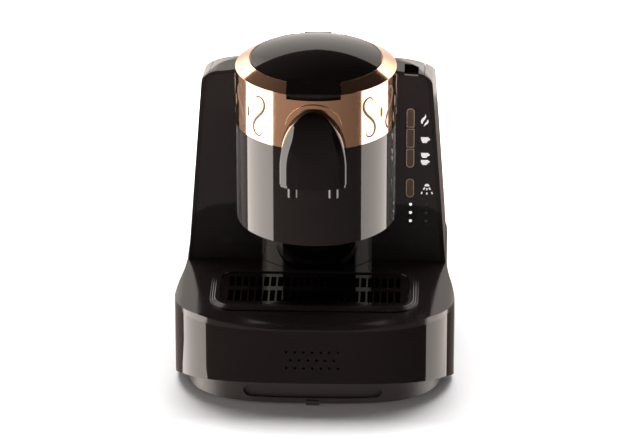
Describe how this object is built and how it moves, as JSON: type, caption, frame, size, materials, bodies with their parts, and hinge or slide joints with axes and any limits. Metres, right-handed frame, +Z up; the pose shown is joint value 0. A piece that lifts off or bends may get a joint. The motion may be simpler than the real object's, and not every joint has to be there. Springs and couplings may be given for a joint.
{
  "type": "electric turkish coffee maker",
  "caption": "Electric Turkish coffee maker: a brew head with a lidded pot and a twin-nozzle spout over a drip tray, with a lift-out water tank behind.",
  "frame": {"origin": "centre of the bounding box, on the surface the rubber feet stand on", "axes": "+Z up, the spout and drip tray face -Y, +X to the right seen from the front"},
  "size_m": [0.2462, 0.262, 0.3],
  "materials": {
    "gloss_brown_black": "gloss",
    "gloss_black": "gloss",
    "satin_brown_black": "satin",
    "matte_black": "matte",
    "copper_gold": "polished, with a raised scroll ornament",
    "copper_brown": "satin",
    "steel": "satin",
    "aluminium": "satin",
    "frame_steel": "satin",
    "brass": "satin",
    "rubber": "matte",
    "silicone": "matte",
    "grey_silicone": "matte",
    "circuit_board": "matte",
    "white_lens": "gloss",
    "white_plastic": "satin",
    "smoke_plastic": "gloss, see-through smoke"
  },
  "bodies": {
    "machine": {"base_shell": "gloss_brown_black", "base_pan": "matte_black", "rubber_feet": "rubber", "base_cover": "satin_brown_black", "speaker": "matte_black", "power_board": "circuit_board", "mains_inlet": "rubber", "water_pump": "white_plastic", "pump_mounts": "rubber", "base_screws": "steel", "rear_housing": "satin_brown_black", "front_panel": "gloss_black", "top_cover_left": "satin_brown_black", "top_cover_right": "satin_brown_black", "pillar_cover": "gloss_black", "head_bracket": "frame_steel", "column_shell": "gloss_brown_black", "head_floor": "matte_black", "head_screws": "steel", "gold_band": "copper_gold", "spout_collar": "copper_gold", "chamfer_ring": "copper_gold", "brew_pot": "steel", "heater_plate": "aluminium", "temperature_sensor": "brass", "foam_sensor": "matte_black", "outlet_valve": "matte_black", "coffee_duct": "grey_silicone", "spout_housing": "gloss_black", "spout_floor": "matte_black", "nozzles": "gloss_black", "hinge_bracket": "matte_black", "lid_hinge_pin": "steel", "control_board": "circuit_board", "button_switches": "matte_black", "indicator_pipes": "white_lens", "tank_seat": "matte_black", "suction_hose": "silicone", "pressure_hose": "silicone", "wire_loom": "matte_black"},
    "brewing_lid": {"lid_dome": "gloss_black", "lid_liner": "matte_black", "lid_seal": "grey_silicone"},
    "tray": {"drip_tray": "satin_brown_black"},
    "grille": {"drip_grille": "gloss_brown_black"},
    "slow_brew_button": {"button_slow_brew": "copper_brown"},
    "one_cup_button": {"button_one_cup": "copper_brown"},
    "two_cups_button": {"button_two_cups": "copper_brown"},
    "clean_button": {"button_clean": "copper_brown"},
    "tank": {"water_tank": "smoke_plastic", "tank_filter": "white_plastic", "tank_hinge_pin": "steel", "valve_spring": "steel"},
    "tank_cover": {"tank_lid": "satin_brown_black"},
    "valve": {"tank_valve": "white_plastic"}
  },
  "joints": [
    {"name": "brewing_lid_hinge", "type": "hinge", "parent": "machine", "child": "brewing_lid", "pos_m": [0, 0.04, 0.2835], "axis": [-1, 0, 0], "range_deg": [0, 95]},
    {"name": "tank_lift", "type": "slide", "parent": "machine", "child": "tank", "axis": [0, 0, 1], "range_m": [0, 0.18]},
    {"name": "tank_lid_hinge", "type": "hinge", "parent": "tank", "child": "tank_cover", "pos_m": [0, 0.10875, 0.22228], "axis": [-1, 0, 0], "range_deg": [0, 75]},
    {"name": "tank_valve_travel", "type": "slide", "parent": "tank", "child": "valve", "axis": [0, 0, 1], "range_m": [0, 0.002], "stiffness_N_per_m": 250, "springref_m": -0.003, "deforming": ["valve_spring"]},
    {"name": "tray_lift", "type": "slide", "parent": "machine", "child": "tray", "axis": [0, 0, 1], "range_m": [0, 0.035]},
    {"name": "grille_lift", "type": "slide", "parent": "tray", "child": "grille", "axis": [0, 0, 1], "range_m": [0, 0.012]},
    {"name": "slow_brew_press", "type": "slide", "parent": "machine", "child": "slow_brew_button", "axis": [0, 1, 0], "range_m": [0, 0.0008], "stiffness_N_per_m": 1200, "springref_m": -0.0003},
    {"name": "one_cup_press", "type": "slide", "parent": "machine", "child": "one_cup_button", "axis": [0, 1, 0], "range_m": [0, 0.0008], "stiffness_N_per_m": 1200, "springref_m": -0.0003},
    {"name": "two_cups_press", "type": "slide", "parent": "machine", "child": "two_cups_button", "axis": [0, 1, 0], "range_m": [0, 0.0008], "stiffness_N_per_m": 1200, "springref_m": -0.0003},
    {"name": "clean_press", "type": "slide", "parent": "machine", "child": "clean_button", "axis": [0, 1, 0], "range_m": [0, 0.0008], "stiffness_N_per_m": 1200, "springref_m": -0.0003}
  ]
}
